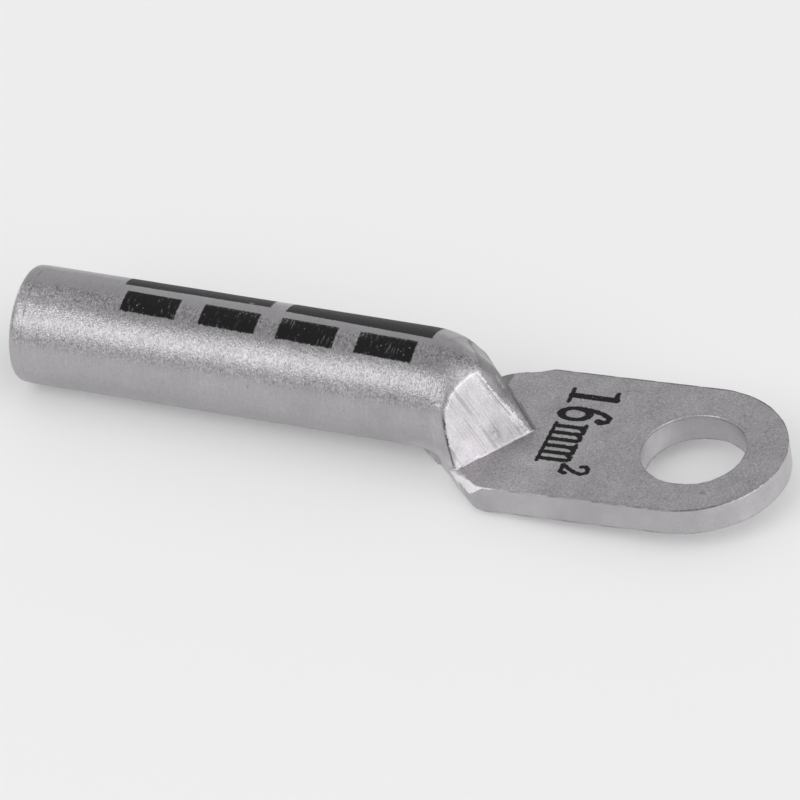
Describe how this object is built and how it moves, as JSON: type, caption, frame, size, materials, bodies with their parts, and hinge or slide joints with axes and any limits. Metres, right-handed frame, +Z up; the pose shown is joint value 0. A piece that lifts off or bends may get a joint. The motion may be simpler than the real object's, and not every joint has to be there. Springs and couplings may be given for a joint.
{
  "type": "aluminium cable lug",
  "caption": "Cable lug in one piece: a round barrel bored for a conductor at one end, pressed flat at the other into a round-ended palm with a bolt hole.",
  "frame": {"origin": "middle of the lug's length and width, on the surface it lies on", "axes": "+X from the barrel's mouth towards the palm's tip, +Y across the palm, +Z up; the lug lies on the lower edge of its mouth and on the heel under the shoulder, so the barrel's axis rises 1.3 degrees and the palm 4.3 degrees towards +X"},
  "size_m": [0.0672, 0.016, 0.0108],
  "materials": {
    "lug_aluminium": "fine circumferential brushing on the barrel, matt pressed palm, bright pressed flats, black print"
  },
  "bodies": {
    "root": {"lug": "lug_aluminium"}
  },
  "joints": []
}
